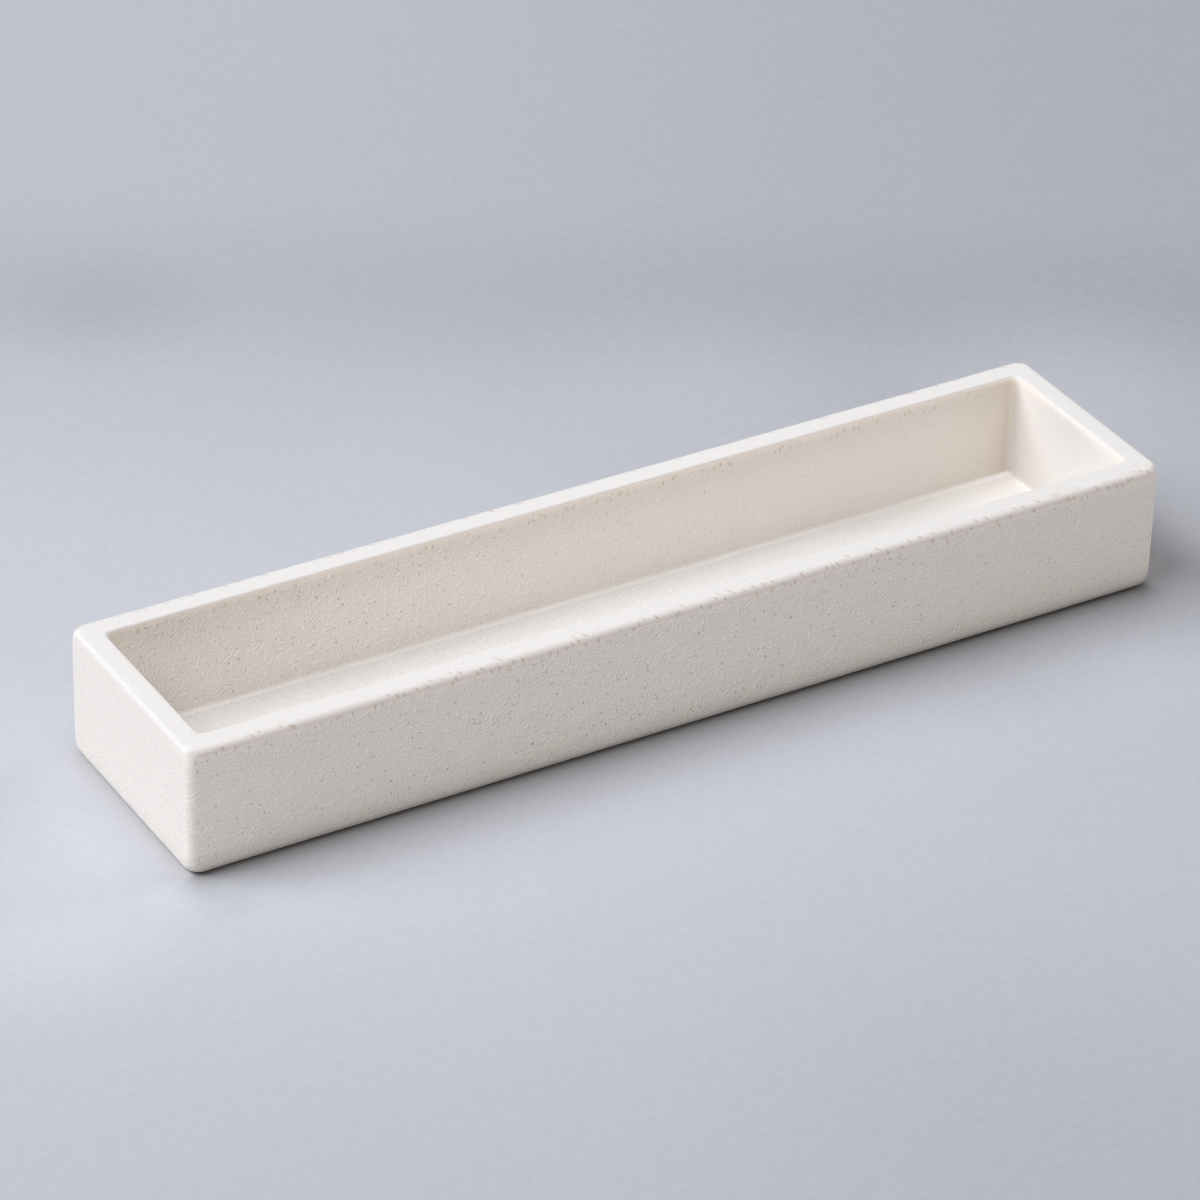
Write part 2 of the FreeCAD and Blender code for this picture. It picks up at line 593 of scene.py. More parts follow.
    def fill_indices(self, ring_start: int, inner_start: int) -> np.ndarray:
        """Number the points of a filled ring.

        Args:
            ring_start: the number of the ring's first point.
            inner_start: the number of the first point inside the ring.

        Returns:
            A grid of point numbers to match fill_points.
        """
        along, across = self.ring_counts()
        count = 2 * (along + across)
        grid = np.zeros((across + 1, along + 1), int)
        inner = np.arange((across - 1) * (along - 1))
        grid[1:-1, 1:-1] = inner_start + inner.reshape(across - 1, along - 1)
        grid[0, :] = ring_start + np.arange(along + 1)
        grid[:, -1] = ring_start + along + np.arange(across + 1)
        grid[-1, :] = (ring_start + along + across + np.arange(along + 1))[::-1]
        grid[:, 0] = (ring_start + (2 * along + across + np.arange(across + 1)) % count)[::-1]
        return grid

    def ring_tint(self, ring: Ring) -> np.ndarray:
        """Work out a ring's colour, which changes little by little over the rounds of the rim.

        Args:
            ring: the ring.

        Returns:
            Its colour.
        """
        s = self.sizes
        tint = np.array(FACES[ring.band].tint)
        # Painted glow just under the rim, blended into the rim's tint over the rounds.
        for round_band, wall, reach, glow in (
            (Band.OUTER_RIM, Band.OUTER_WALL, s.outer_rim, OUTER_GLOW),
            (Band.INNER_RIM, Band.CAVITY_WALL, s.inner_rim, CAVITY_GLOW),
        ):
            if ring.band is wall:
                near = math.exp((ring.height - s.height + reach) / GLOW_REACH)
                return tint * (1.0 + near * (np.array(glow) - 1.0))
            if ring.band is round_band:
                share = min((s.height - ring.height) / reach, 1.0) ** RIM_BLEND
                return tint * (1.0 - share) + np.array(FACES[wall].tint) * np.array(glow) * share
        # The painted highlight in the cavity floor's crease gives way to the wall's tint up the round.
        if ring.band is Band.FLOOR_ROUND:
            share = min((ring.height - s.floor) / s.floor_round / CREASE_HEIGHT, 1.0) ** CREASE_BLEND
            return tint * (1.0 - share) + np.array(CAVITY_TINT) * share
        return tint

    def drift(self, band: Band, height: float, points: np.ndarray) -> np.ndarray:
        """Work out how the rim and the cavity floor change in lightness along the boat.

        Args:
            band: the points' band.
            height: the points' height.
            points: the points.

        Returns:
            The share of its colour that each point keeps.
        """
        s = self.sizes
        half = s.length / 2
        if band is Band.CAVITY_FLOOR:
            return 1.0 + FLOOR_DRIFT * points[:, 0] / half
        if band not in (Band.OUTER_RIM, Band.RIM_TOP, Band.INNER_RIM):
            return np.ones(len(points))
        reach = s.inner_rim if band is Band.INNER_RIM else s.outer_rim
        upper = max(0.0, 1.0 - (s.height - height) / reach)
        along = (points[:, 0] - RIM_DRIFT_TURN * points[:, 1]) / half
        return 1.0 - RIM_DRIFT * upper * np.clip(along, 0.0, 1.0)

    def corner_light(self, ring: Ring, points: np.ndarray, past_x: np.ndarray) -> np.ndarray:
        """Work out how much of its colour each point of a cavity wall keeps, with painted shade and light
        near the upright corners.

        Args:
            ring: the points' ring.
            points: the points.
            past_x: 0 on the long walls and 1 on the end walls.

        Returns:
            One row of three shares to each point.
        """
        gap_x = ring.half_x - np.abs(points[:, 0])
        gap_y = ring.half_y - np.abs(points[:, 1])
        away = np.maximum(gap_x, gap_y)
        light = np.ones((len(points), 3))
        far = points[:, 0] > 0.0
        for shade, share in (
            (CREASE_SHADE, 1.0 - past_x),
            (FAR_SHADE, (1.0 - past_x) * far),
            (END_CREASE_SHADE, past_x * far),
            (FAR_GLOW, past_x * far),
        ):
            fade = share * np.exp(-away / shade.reach)
            light -= fade[:, None] * np.array(shade.depth)
        sunk = (self.sizes.height - ring.height) / (self.sizes.height - self.sizes.floor)
        deep = sunk * far * np.exp(-gap_x / FAR_DEEP_SHADE.reach)
        return light * (1.0 - deep[:, None] * np.array(FAR_DEEP_SHADE.depth))

    def smooth_at(self, smoothness: np.ndarray, points: np.ndarray) -> np.ndarray:
        """Make points smoother where the grain is finer.

        Args:
            smoothness: each point's own smoothness.
            points: the points.

        Returns:
            The smoothness of each point.
        """
        calm = np.interp(points @ np.array(CALM_WAY), *zip(*CALM))
        return smoothness + (1.0 - smoothness) * calm

    def past_corner(self, points: np.ndarray, half: float, corner: float) -> np.ndarray:
        """Work out how far each point is round an upright corner.

        Args:
            points: the points' places along one direction.
            half: half the ring's size that way.
            corner: the ring's corner radius.

        Returns:
            A share for each point, 0 where the corner begins and 1 past it.
        """
        return np.clip((np.abs(points) - half + corner) / corner, 0.0, 1.0)

    def edge_nearness(self, ring: Ring, past_x: np.ndarray, past_y: np.ndarray) -> np.ndarray:
        """Work out how near each point lies to an edge that has nicks.

        Args:
            ring: the points' ring.
            past_x: 0 on the long walls and 1 on the end walls.
            past_y: 1 on the long walls and 0 on the end walls.

        Returns:
            A share for each point, 1 at the edge.
        """
        top = self.sizes.height - self.sizes.outer_rim
        below = min(max(1.0 - (top - ring.height) / NICK_REACH, 0.0), 1.0)
        if ring.band is Band.CAVITY_WALL:
            return (1.0 - past_x) * below
        if ring.band in (Band.OUTER_WALL, Band.OUTER_RIM):
            return (1.0 - past_x) * np.maximum(below, CORNER_NICKS * past_y * (past_x > 0.0))
        return np.zeros(len(past_x))

    def point_tints(
        self, ring: Ring, points: np.ndarray, past_x: np.ndarray, past_y: np.ndarray
    ) -> np.ndarray:
        """Work out the colour of each point of a ring.

        Args:
            ring: the ring.
            points: its points.
            past_x: 0 on the long walls and 1 on the end walls.
            past_y: 1 on the long walls and 0 on the end walls.

        Returns:
            One colour to each point.
        """
        s = self.sizes
        band = ring.band
        ends = past_x[:, None]
        tint = np.tile(self.ring_tint(ring), (len(points), 1))
        # Painted light: the end walls take the greyer tints set for their stronger light.
        if band in END_TINTS:
            turned = np.array(END_TINTS[band]) / np.array(FACES[band].tint)
            tint *= 1.0 + ends * (turned - 1.0)
        shown = tint[:, :3]
        # Painted light and shade across the upright outer corners.
        if band in (Band.BASE_ROUND, Band.OUTER_WALL, Band.OUTER_RIM):
            turning = past_x * past_y * (past_y - past_x)
            shown *= (1.0 - PAINTED_CORNER_CONTRAST * turning)[:, None]
        # Painted shade towards the floor, and less painted glow under the rim at the ends.
        if band in (Band.BASE_ROUND, Band.OUTER_WALL):
            lost = np.interp(ring.height, *zip(*FOOT_SHADES))
            shown *= 1.0 - lost * (1.0 + ends * (END_FOOT_SHARE - 1.0))
            glow = math.exp(min(ring.height - s.height + s.outer_rim, 0.0) / GLOW_REACH)
            shown *= 1.0 - END_GLOW_DROP * glow * ends
        # Painted warm light where the long rims turn down, and less painted glow at the ends.
        if band is Band.OUTER_RIM:
            share = ((s.height - ring.height) / s.outer_rim) ** RIM_BLEND
            shown *= 1.0 - PAINTED_WARMTH_PEAK * share * (1.0 - share) * (1.0 - ends) * np.array(PAINTED_RIM_WARMTH)
            shown *= 1.0 - END_GLOW_DROP * share * ends
        # Painted shade and light near the cavity's upright corners.
        if band is Band.CAVITY_WALL:
            shown *= self.corner_light(ring, points, past_x)
        shown *= self.drift(band, ring.height, points)[:, None]
        return tint

    def mark_faces(
        self, mesh: bpy.types.Mesh, loops: list[np.ndarray], filled: list[np.ndarray]
    ) -> None:
        """Mark how smooth each point is, how near an outer edge it lies and what colour it has.

        Args:
            mesh: the skin.
            loops: the points of each ring.
            filled: the points that fill the underside and the cavity floor.
        """
        smooth = []
        edges = []
        tints = []
        for ring, points in zip(self.rings, loops):
            past_x = self.past_corner(points[:, 0], ring.half_x, ring.corner)
            past_y = self.past_corner(points[:, 1], ring.half_y, ring.corner)
            own = np.full(len(points), FACES[ring.band].smoothness)
            if ring.band in (Band.OUTER_WALL, Band.CAVITY_WALL):
                own += (END_SMOOTHNESS - own) * past_x
            smooth.append(self.smooth_at(own, points))
            edges.append(self.edge_nearness(ring, past_x, past_y))
            tints.append(self.point_tints(ring, points, past_x, past_y))
        for band, points in zip((Band.UNDERSIDE, Band.CAVITY_FLOOR), filled):
            own = np.full(len(points), FACES[band].smoothness)
            smooth.append(self.smooth_at(own, points))
            edges.append(np.zeros(len(points)))
            tint = np.tile(FACES[band].tint, (len(points), 1))
            tint[:, :3] *= self.drift(band, 0.0, points)[:, None]
            tints.append(tint)
        for name, values in (("smoothness", smooth), ("edge", edges)):
            mark = mesh.attributes.new(name, "FLOAT", "POINT")
            mark.data.foreach_set("value", np.concatenate(values).astype(np.float32))
        colours = mesh.attributes.new("tint", "FLOAT_COLOR", "POINT")
        colours.data.foreach_set("color", np.concatenate(tints).astype(np.float32).ravel())

    def build(self) -> bpy.types.Object:
        """Build the skin and mark its faces.

        Returns:
            The trough as a new object at the origin.
        """
        self.lay_rings()
        along, across = self.ring_counts()
        count = 2 * (along + across)
        loops = [self.ring_points(ring) for ring in self.rings]
        underside = self.fill_points(loops[0])
        cavity_floor = self.fill_points(loops[-1])
        inside = [grid[1:-1, 1:-1].reshape(-1, 3) for grid in (underside, cavity_floor)]
        points = np.concatenate(loops + inside)

        last_ring = (len(self.rings) - 1) * count
        first_inside = len(self.rings) * count
        faces = []
        here = np.arange(count)
        following = (here + 1) % count
        for index in range(len(self.rings) - 1):
            low = index * count
            high = low + count
            faces.append(np.stack([low + here, low + following, high + following, high + here], axis=1))
        under = self.fill_indices(0, first_inside)[:, ::-1]
        above = self.fill_indices(last_ring, first_inside + len(inside[0]))
        for grid in (under, above):
            corners = [grid[:-1, :-1], grid[:-1, 1:], grid[1:, 1:], grid[1:, :-1]]
            faces.append(np.stack(corners, axis=-1).reshape(-1, 4))

        mesh = bpy.data.meshes.new("boat_skin")
        mesh.from_pydata(points.tolist(), [], np.concatenate(faces).tolist())
        mesh.update()
        self.mark_faces(mesh, loops, inside)
        mesh.shade_smooth()
        boat = bpy.data.objects.new("ceramic_boat", mesh)
        bpy.context.scene.collection.objects.link(boat)
        return boat


@dataclass(frozen=True)
class PressedSurface:
    """The unevenness that pressing and firing left: a slow wave, small lumps and shallow dents.

    Lengths are in millimetres.
    """

    wave_depth: float = 0.02
    wave_size: float = 9.0
    lump_depth: float = 0.008
    lump_size: float = 1.6
    dent_depth: float = 0.014
    dent_size: float = 0.4
    dent_spacing: float = 2.6
    seed: float = 4.0
    wave_shift: float = 3.1
    lump_shift: float = 5.3
    lowest: float = 0.3
    highest: float = 0.7
    smooth_share: float = 0.8

    def build_tree(self) -> bpy.types.NodeTree:
        """Build the tree that sinks the skin a little, never past its own outline.

        Returns:
            The node tree, with a named input for each size.
        """
        tree = bpy.data.node_groups.new("pressed_surface", "GeometryNodeTree")
        add_socket(tree, "Geometry", "Geometry", "INPUT")
        for name, value in named(self).items():
            add_socket(tree, name, "Float", "INPUT", value)
        add_socket(tree, "Finish", "Material", "INPUT")
        add_socket(tree, "Geometry", "Geometry", "OUTPUT")
        wiring = Wiring(tree)
        given = wiring.node("NodeGroupInput").outputs
        position = wiring.node("GeometryNodeInputPosition").outputs[0]
        place = wiring.scaled(position, PER_MM)

        def uneven(kind: str) -> Socket:
            """Add one kind of random unevenness, moved by the seed."""
            shift = wiring.times(given["Seed"], given[f"{kind} shift"])
            scale = wiring.over(1.0, given[f"{kind} size"])
            settings = {"Vector": wiring.vector("ADD", place, shift), "Scale": scale, "Detail": 1.0}
            noise = wiring.node("ShaderNodeTexNoise", settings).outputs[0]
            depth = wiring.fade(noise, given["Lowest"], given["Highest"])
            return wiring.times(depth, given[f"{kind} depth"])

        wave = uneven("Wave")
        lump = uneven("Lump")
        away, _ = wiring.scatter(place, given["Dent spacing"], "3D")
        nearness = wiring.minus(1.0, wiring.over(away, given["Dent size"]))
        dent = wiring.times(wiring.fade(nearness, 0.0, 1.0), given["Dent depth"])

        mark = wiring.node("GeometryNodeInputNamedAttribute", {"Name": "smoothness"}, data_type="FLOAT")
        rough_share = wiring.minus(1.0, wiring.times(mark.outputs[0], given["Smooth share"]))
        sink = wiring.plus(wave, wiring.times(wiring.plus(lump, dent), rough_share))
        normal = wiring.node("GeometryNodeInputNormal").outputs[0]
        offset = wiring.scaled(normal, wiring.times(sink, -MM))
        sunk = wiring.node("GeometryNodeSetPosition", {"Geometry": given["Geometry"], "Offset": offset})
        whole = wiring.node("GeometryNodeRealizeInstances", {"Geometry": sunk.outputs[0]})
        inputs = {"Geometry": whole.outputs[0], "Material": given["Finish"]}
        dressed = wiring.node("GeometryNodeSetMaterial", inputs)
        wiring.node("NodeGroupOutput", {"Geometry": dressed.outputs[0]})
        return tree

    def press(self, boat: bpy.types.Object, finish: bpy.types.Material) -> None:
        """Sink the boat's skin and leave it a plain mesh with its finish on.

        Args:
            boat: the smooth trough.
            finish: the ceramic's material.
        """
        tree = self.build_tree()
        modifier = boat.modifiers.new("pressed_surface", "NODES")
        modifier.node_group = tree
        values = {**named(self), "Finish": finish}
        for item in tree.interface.items_tree:
            if item.in_out == "INPUT" and item.name in values:
                modifier[item.identifier] = values[item.name]
        settled = boat.evaluated_get(bpy.context.evaluated_depsgraph_get())
        mesh = bpy.data.meshes.new_from_object(settled)
        boat.modifiers.remove(modifier)
        boat.data = mesh
        mesh.shade_smooth()


@dataclass(frozen=True)
class Strokes:
    """One layer of short curved raised strokes. Lengths are in millimetres."""

    spacing: float
    gap: float
    width: float
    cover: float
    shift: float


@dataclass(frozen=True)
class Pits:
    """One layer of small pits. Lengths are in millimetres."""

    spacing: float
    radius: float
    stretch: tuple[float, float, float]
    shift: float


# How strokes bend, and how they break off: the scale of the breaks, how far their pattern lies
# from the strokes' own, and how softly a stroke ends.
STROKE_BEND_SCALE = 0.55
STROKE_BEND = 1.0
BREAK_SCALE = 1.5
BREAK_SHIFT = (31.7, -12.9, 7.3)
BREAK_END = 0.08

# How uneven a pit's outline is, and the share of its radius that is its flat middle.
PIT_BEND_SCALE = 3.0
PIT_BEND = 0.3
PIT_MIDDLE = 0.35


def build_strokes_group() -> bpy.types.ShaderNodeTree:
    """Build the shader group that raises short curved strokes: broken rings round scattered points.

    Returns:
        The group. Its output is 1 on the crest of a stroke and 0 off it.
    """
    tree = bpy.data.node_groups.new("curved_strokes", "ShaderNodeTree")
    add_socket(tree, "Place", "Vector", "INPUT")
    for name in ("Spacing", "Gap", "Width", "Cover", "Shift"):
        add_socket(tree, name, "Float", "INPUT")
    add_socket(tree, "Height", "Float", "OUTPUT")
    wiring = Wiring(tree)
    given = wiring.node("NodeGroupInput").outputs
    moved = wiring.vector("ADD", given["Place"], given["Shift"])
    bent = wiring.wander(moved, STROKE_BEND_SCALE, STROKE_BEND, "2D")
    away, colour = wiring.scatter(bent, given["Spacing"], "2D")
    chance = wiring.node("ShaderNodeSeparateColor", {0: colour}).outputs[0]
    rows = wiring.plus(wiring.over(away, given["Gap"]), chance)
    across = wiring.times(wiring.math("PINGPONG", rows, 0.5), given["Gap"])
    crest = wiring.fade(across, 0.0, given["Width"], 1.0, 0.0)
    far = wiring.vector("ADD", moved, BREAK_SHIFT)
    settings = {"Vector": far, "Scale": BREAK_SCALE, "Detail": 0.0}
    breaks = wiring.node("ShaderNodeTexNoise", settings, noise_dimensions="2D").outputs[0]
    shown_from = wiring.minus(1.0, given["Cover"])
    shown = wiring.fade(breaks, shown_from, wiring.plus(shown_from, BREAK_END))
    wiring.node("NodeGroupOutput", {"Height": wiring.times(crest, shown)})
    return tree


def build_pits_group(name: str, dimensions: str) -> bpy.types.ShaderNodeTree:
    """Build a shader group that places small pits.

    Args:
        name: the group's name.
        dimensions: 3D for pits all through the body, or 2D for pits on an unwrapped face.

    Returns:
        The group. Its output is 1 in the middle of a pit and 0 off it.
    """
    tree = bpy.data.node_groups.new(name, "ShaderNodeTree")
    for socket in ("Place", "Stretch"):
        add_socket(tree, socket, "Vector", "INPUT")
    for socket in ("Spacing", "Radius", "Shift"):
        add_socket(tree, socket, "Float", "INPUT")
    add_socket(tree, "Pit", "Float", "OUTPUT")
    wiring = Wiring(tree)
    given = wiring.node("NodeGroupInput").outputs
    moved = wiring.vector("ADD", given["Place"], given["Shift"])
    bent = wiring.wander(moved, PIT_BEND_SCALE, PIT_BEND, "3D")
    drawn_out = wiring.vector("MULTIPLY", bent, given["Stretch"])
    away, _ = wiring.scatter(drawn_out, given["Spacing"], dimensions)
    pit = wiring.fade(away, given["Radius"], wiring.times(given["Radius"], PIT_MIDDLE))
    wiring.node("NodeGroupOutput", {"Pit": pit})
    return tree


@dataclass(frozen=True)
class MagnesiaFinish:
    """Fired magnesia: off-white, matt and unglazed, with raised strokes shown in painted light and shade,
    pits and a warm mottle.
    """

    fleck: Colour = (0.44, 0.33, 0.25, 1.0)
    nick: Colour = (0.52, 0.37, 0.25, 1.0)
    roughness: float = 0.62
    strokes: tuple[Strokes, ...] = (
        Strokes(spacing=1.9, gap=0.42, width=0.1, cover=0.50, shift=3.0),
        Strokes(spacing=1.4, gap=0.46, width=0.09, cover=0.45, shift=17.0),
        Strokes(spacing=2.3, gap=0.60, width=0.1, cover=0.44, shift=53.0),
    )
    specks: Pits = Pits(spacing=0.62, radius=0.12, stretch=(1.0, 1.0, 0.8), shift=7.0)
    nicks: Pits = Pits(spacing=0.66, radius=0.12, stretch=(1.0, 0.34, 1.0), shift=29.0)
    unwrap_u: tuple[float, float, float] = (1.0, 1.0, 0.0)
    unwrap_v: tuple[float, float, float] = (0.0, 0.62, 1.0)
    crest_gain: float = 0.055
    # Painted light and shade on the strokes: each is painted paler on its side towards the light, up and
    # to the left, and darker on the far side. The lean is that step towards the light.
    slope_gain: float = 0.2
    lean: tuple[float, float, float] = (-0.07, 0.08, 0.0)
    pit_depth: float = 0.03
    grain: Mottle = Mottle(size=0.2, shift=5.0, gain=0.075, detail=1.0)
    clouds: Mottle = Mottle(size=1.3, shift=11.0, gain=0.045)
    warmth: Mottle = Mottle(size=0.8, shift=41.0, gain=0.028)
    smooth_share: float = 0.93
    speck_strength: float = 0.68
    nick_strength: float = 0.55

    def draw_strokes(self, wiring: Wiring, group: bpy.types.NodeTree, place: Socket) -> Socket:
        """Lay all the layers of strokes.

        Args:
            wiring: the material's wiring.
            group: the strokes group.
            place: the position on the unwrapped surface, in millimetres.

        Returns:
            The socket that is 1 on a crest and 0 off it.
        """
        height = wiring.layer(group, place, self.strokes[0])
        for layer in self.strokes[1:]:
            height = wiring.math("MAXIMUM", height, wiring.layer(group, place, layer))
        return height

    def build(self) -> bpy.types.Material:
        """Build the material.

        Returns:
            The ceramic's material.
        """
        material = bpy.data.materials.new("fired_magnesia")
        material.use_nodes = True
        tree = material.node_tree
        tree.nodes.clear()
        wiring = Wiring(tree)
        coordinates = wiring.node("ShaderNodeTexCoord").outputs["Object"]
        scale = (PER_MM, PER_MM, PER_MM)
        place = wiring.node("ShaderNodeMapping", {"Vector": coordinates, "Scale": scale}).outputs[0]
        tint = wiring.node("ShaderNodeAttribute", attribute_name="tint").outputs["Color"]
        smoothness = wiring.node("ShaderNodeAttribute", attribute_name="smoothness").outputs["Fac"]
        edge = wiring.node("ShaderNodeAttribute", attribute_name="edge").outputs["Fac"]
        grain_share = wiring.minus(1.0, wiring.times(smoothness, self.smooth_share))

        strokes_group = build_strokes_group()
        along = wiring.length("DOT_PRODUCT", place, self.unwrap_u)
        above = wiring.length("DOT_PRODUCT", place, self.unwrap_v)
        unwrapped = wiring.node("ShaderNodeCombineXYZ", {0: along, 1: above}).outputs[0]
        crest = self.draw_strokes(wiring, strokes_group, unwrapped)
        # Painted light and shade: the strokes again, a step towards the light, so each is painted paler on
        # one side and darker on the other.
        towards = self.draw_strokes(wiring, strokes_group, wiring.vector("ADD", unwrapped, self.lean))
        painted_side_light = wiring.minus(crest, towards)

        speck = wiring.layer(build_pits_group("specks", "3D"), place, self.specks)
        nick = wiring.layer(build_pits_group("nicks", "2D"), unwrapped, self.nicks)
        speck_share = wiring.times(speck, grain_share)
        nick_share = wiring.times(nick, edge)

        shading = wiring.times(crest, self.crest_gain)
        shading = wiring.plus(shading, wiring.times(painted_side_light, self.slope_gain))
        shading = wiring.plus(shading, wiring.mottled(place, self.grain))
        shading = wiring.plus(shading, wiring.mottled(place, self.clouds))
        shading = wiring.plus(wiring.times(shading, grain_share), 1.0)
        warm = wiring.times(wiring.mottled(place, self.warmth), grain_share)
        balance = {0: wiring.plus(1.0, warm), 1: 1.0, 2: wiring.minus(1.0, warm)}
        balanced = wiring.node("ShaderNodeCombineXYZ", balance).outputs[0]
        body = wiring.vector("MULTIPLY", wiring.scaled(tint, shading), balanced)
        body = wiring.mix(wiring.times(nick_share, self.nick_strength), body, self.nick)
        colour = wiring.mix(wiring.times(speck_share, self.speck_strength), body, self.fleck)

        relief = wiring.times(wiring.math("MAXIMUM", speck_share, nick_share), -self.pit_depth)
        bump = wiring.node("ShaderNodeBump", {"Height": relief, "Distance": MM, "Strength": 1.0})
        inputs = {"Base Color": colour, "Roughness": self.roughness, "Normal": bump.outputs[0]}
        shader = wiring.node("ShaderNodeBsdfPrincipled", inputs)
        wiring.node("ShaderNodeOutputMaterial", {"Surface": shader.outputs[0]})
        return material


@dataclass(frozen=True)
class Lamp:
    """One broad, far lamp. Angles are in degrees, the azimuth from +X towards +Y."""

    name: str
    azimuth: float
    elevation: float
    strength: float
    colour: tuple[float, float, float]
    spread: float = 22.0


@dataclass(frozen=True)
class PaintedLightPatch:
    """A patch of painted light on the floor, painted shadow where the lift is below 0: its place and reach
    in millimetres, and how much paler.
    """

    x: float
    y: float
    reach: float
    lift: float


@dataclass(frozen=True)
class Studio:
    """The plain floor, with painted shade and light round the boat, and the soft lights. Places on the
    floor are in millimetres.
    """

    floor_half: float = 3.0
    floor_colour: Colour = (0.542, 0.563, 0.617, 1.0)
    floor_roughness: float = 0.9
    floor_turn: float = math.radians(-31.0)
    right_fade: tuple[float, float] = (-70.0, 90.0)
    right_drop: float = 0.19
    front_fade: tuple[float, float] = (20.0, 100.0)
    front_drop: float = 0.135
    back_fade: tuple[float, float] = (0.0, 70.0)
    back_drop: float = 0.17
    # A band of painted shade across the floor behind the boat: how far away, how wide and how deep.
    band_away: float = 70.0
    band_reach: float = 22.0
    band_drop: float = 0.053
    grain: Mottle = Mottle(size=0.8, shift=2.0, gain=0.06)
    foot_inset: float = 0.65
    foot_corner: float = 0.9
    front_turn: float = 0.45
    front_shade: Shade = Shade((0.79, 0.805, 0.83), 1.65)
    side_line: Shade = Shade((0.45, 0.45, 0.45), 0.12)
    side_shade: Shade = Shade((0.08, 0.11, 0.15), 2.2)
    patches: tuple[PaintedLightPatch, ...] = (
        PaintedLightPatch(x=-65.0, y=-9.0, reach=20.0, lift=0.12),
        PaintedLightPatch(x=66.0, y=24.0, reach=24.0, lift=0.085),
        PaintedLightPatch(x=34.0, y=40.0, reach=24.0, lift=0.05),
        PaintedLightPatch(x=4.0, y=40.0, reach=24.0, lift=0.025),
        PaintedLightPatch(x=-51.5, y=-13.5, reach=5.0, lift=0.14),
        PaintedLightPatch(x=50.0, y=-11.0, reach=18.0, lift=-0.09),
        PaintedLightPatch(x=30.0, y=-15.0, reach=15.0, lift=-0.07),
        PaintedLightPatch(x=-5.0, y=-68.0, reach=34.0, lift=-0.03),
        PaintedLightPatch(x=-13.0, y=82.0, reach=16.0, lift=-0.07),
    )
    backdrop: Colour = (0.47, 0.48, 0.53, 1.0)
    lamps: tuple[Lamp, ...] = (
        Lamp("key", 150.0, 42.0, 1.92, (0.975, 0.993, 1.032), spread=36.0),
        Lamp("left_top", 180.0, 64.0, 1.10, (0.999, 0.993, 1.008)),
        Lamp("back_top", 60.0, 64.0, 0.51, (1.01, 0.998, 0.992)),
        Lamp("right_fill", 0.0, 22.0, 0.85, (1.013, 0.998, 0.989)),
        Lamp("front_fill", 240.0, 42.0, 0.60, (1.055, 0.997, 0.948)),
        Lamp("low_fill", 270.0, 22.0, 0.37, (1.055, 0.997, 0.948)),
    )

    def floor_light(self, wiring: Wiring, place: Socket) -> Socket:
        """Work out the floor's tone: paler at the near left, deeper to the right and behind, with painted
        shade and light.

        Args:
            wiring: the floor material's wiring.
            place: the position, in millimetres.

        Returns:
            The socket that holds the share of its colour that the floor keeps.
        """
        turned = (0.0, 0.0, -self.floor_turn)
        facing = wiring.node("ShaderNodeMapping", {"Vector": place, "Rotation": turned}).outputs[0]
        across, away, _ = wiring.node("ShaderNodeSeparateXYZ", {0: facing}).outputs
        from_band = wiring.math("ABSOLUTE", wiring.minus(away, self.band_away))
        light = wiring.plus(wiring.mottled(place, self.grain), 1.0)
        for drop in (
            wiring.fade(across, *self.right_fade, 0.0, self.right_drop),
            wiring.fade(wiring.times(away, -1.0), *self.front_fade, 0.0, self.front_drop),
            wiring.fade(away, *self.back_fade, 0.0, self.back_drop),
            wiring.fade(from_band, 0.0, self.band_reach, self.band_drop, 0.0),
        ):
            light = wiring.minus(light, drop)
        # Patches of painted light and painted shadow round the boat.
        for patch in self.patches:
            away_from = wiring.length("DISTANCE", place, (patch.x, patch.y, 0.0))
            light = wiring.plus(light, wiring.fade(away_from, 0.0, patch.reach, patch.lift, 0.0))
        return light

    def paint_floor(self, wiring: Wiring, foot: Vector) -> Socket:
        """Paint the floor, with painted shade along the boat's front edge and a painted shadow line and
        shade along the others.

        Args:
            wiring: the floor material's wiring.
            foot: half the length and half the width that the boat covers.

        Returns:
            The socket that holds the colour.
        """
        coordinates = wiring.node("ShaderNodeTexCoord").outputs["Object"]
        scale = (PER_MM, PER_MM, PER_MM)
        place = wiring.node("ShaderNodeMapping", {"Vector": coordinates, "Scale": scale}).outputs[0]
        light = self.floor_light(wiring, place)

        place_x, place_y, _ = wiring.node("ShaderNodeSeparateXYZ", {0: place}).outputs
        core_x = foot.x * PER_MM - self.foot_corner - self.foot_inset
        core_y = foot.y * PER_MM - self.foot_corner - self.foot_inset
        beside = wiring.at_least(wiring.minus(wiring.math("ABSOLUTE", place_x), core_x), 0.0)
        beyond = wiring.at_least(wiring.minus(wiring.math("ABSOLUTE", place_y), core_y), 0.0)
        before = wiring.at_least(wiring.minus(wiring.times(place_y, -1.0), core_y), 0.0)
        square = wiring.plus(wiring.times(beyond, beyond), wiring.times(beside, beside))
        out = wiring.math("SQRT", square)
        gap = wiring.at_least(wiring.minus(out, self.foot_corner), 0.0)
        facing_front = wiring.over(before, wiring.at_least(out, TINY))
        front_share = wiring.fade(facing_front, self.front_turn, 1.0)
        side_share = wiring.minus(1.0, front_share)

        colour = wiring.scaled(self.floor_colour[:3], light)
        for shade, share in (
            (self.front_shade, front_share),
            (self.side_line, side_share),
            (self.side_shade, side_share),
        ):
            near = wiring.math("EXPONENT", wiring.over(gap, -shade.reach))
            lost = wiring.scaled(shade.depth, wiring.times(near, share))
            kept = wiring.vector("SUBTRACT", (1.0, 1.0, 1.0), lost)
            colour = wiring.vector("MULTIPLY", colour, kept)
        return colour

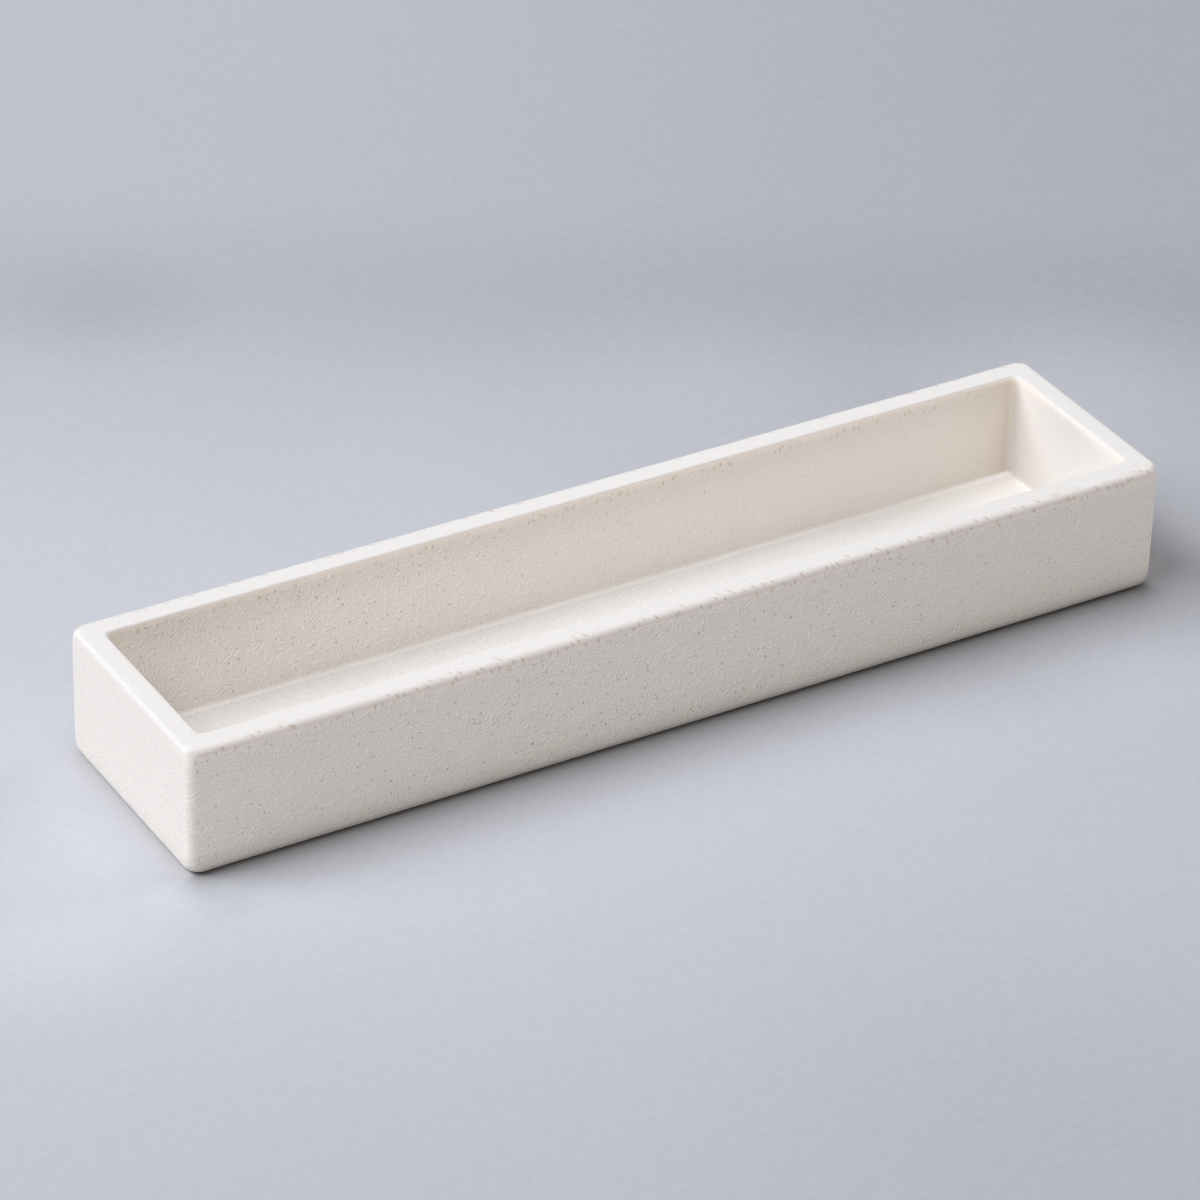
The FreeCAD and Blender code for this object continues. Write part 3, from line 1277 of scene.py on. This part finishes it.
    def build_floor(self, foot: Vector) -> bpy.types.Object:
        """Build the floor.

        Args:
            foot: half the length and half the width that the boat covers.

        Returns:
            The floor, one flat face under the boat.
        """
        half = self.floor_half
        mesh = bpy.data.meshes.new("floor")
        corners = [(-half, -half, 0.0), (half, -half, 0.0), (half, half, 0.0), (-half, half, 0.0)]
        mesh.from_pydata(corners, [], [(0, 1, 2, 3)])
        floor = bpy.data.objects.new("floor", mesh)
        bpy.context.scene.collection.objects.link(floor)
        material = bpy.data.materials.new("floor")
        material.use_nodes = True
        wiring = Wiring(material.node_tree)
        shader = material.node_tree.nodes["Principled BSDF"]
        material.node_tree.links.new(self.paint_floor(wiring, foot), shader.inputs["Base Color"])
        shader.inputs["Roughness"].default_value = self.floor_roughness
        mesh.materials.append(material)
        return floor

    def build_lights(self) -> None:
        """Build the backdrop, which only the camera sees, and the lamps."""
        scene = bpy.context.scene
        world = bpy.data.worlds.new("backdrop")
        world.use_nodes = True
        wiring = Wiring(world.node_tree)
        seen = wiring.node("ShaderNodeLightPath").outputs["Is Camera Ray"]
        sky = world.node_tree.nodes["Background"]
        sky.inputs["Color"].default_value = self.backdrop
        world.node_tree.links.new(seen, sky.inputs["Strength"])
        scene.world = world

        for lamp in self.lamps:
            light = bpy.data.lights.new(lamp.name, "SUN")
            light.energy = lamp.strength
            light.angle = math.radians(lamp.spread)
            light.color = lamp.colour
            azimuth = math.radians(lamp.azimuth)
            elevation = math.radians(lamp.elevation)
            level = math.cos(elevation)
            away = Vector((level * math.cos(azimuth), level * math.sin(azimuth), math.sin(elevation)))
            placed = bpy.data.objects.new(lamp.name, light)
            placed.rotation_mode = "QUATERNION"
            placed.rotation_quaternion = away.to_track_quat("Z", "Y")
            scene.collection.objects.link(placed)


@dataclass(frozen=True)
class Viewpoint:
    """Where the photograph was taken from."""

    azimuth: float = math.radians(-31.318)
    elevation: float = math.radians(32.097)
    roll: float = math.radians(1.613)
    distance: float = 492.54 * MM
    lens: float = 164.455
    sensor: float = 36.0
    nearest: float = 0.01
    farthest: float = 20.0
    aim_right: float = 2.561 * MM
    aim_up: float = -0.413 * MM

    def build(self, centre: Vector) -> bpy.types.Object:
        """Build the camera.

        Args:
            centre: the middle of the boat.

        Returns:
            The camera, which is also made the scene's own.
        """
        level = math.cos(self.elevation)
        back = Vector(
            (math.sin(self.azimuth) * level, -math.cos(self.azimuth) * level, math.sin(self.elevation))
        )
        flat_right = Vector((math.cos(self.azimuth), math.sin(self.azimuth), 0.0))
        flat_up = back.cross(flat_right)
        right = math.cos(self.roll) * flat_right + math.sin(self.roll) * flat_up
        up = math.cos(self.roll) * flat_up - math.sin(self.roll) * flat_right
        lens = bpy.data.cameras.new("camera")
        lens.sensor_width = self.sensor
        lens.lens = self.lens
        lens.clip_start = self.nearest
        lens.clip_end = self.farthest
        camera = bpy.data.objects.new("camera", lens)
        place = centre + back * self.distance - right * self.aim_right - up * self.aim_up
        camera.matrix_world = Matrix.Translation(place) @ Matrix((right, up, back)).transposed().to_4x4()
        bpy.context.scene.collection.objects.link(camera)
        bpy.context.scene.camera = camera
        return camera


def main() -> None:
    """Build the boat and the studio round it, and report each piece."""
    logging.basicConfig(level=logging.INFO, format="%(message)s")
    low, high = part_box("boat")
    span = high - low
    sizes = TroughSizes(length=span.x, width=span.y, height=span.z)
    boat = Trough(sizes).build()
    PressedSurface().press(boat, MagnesiaFinish().build())
    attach(boat, "root")
    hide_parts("boat")
    log.info("boat: %d faces", len(boat.data.polygons))

    studio = Studio()
    studio.build_floor(span / 2)
    studio.build_lights()
    Viewpoint().build((low + high) / 2)
    bpy.context.scene.view_settings.view_transform = "Standard"
    log.info("studio: floor, lights and camera")


if __name__ == "__main__":
    main()
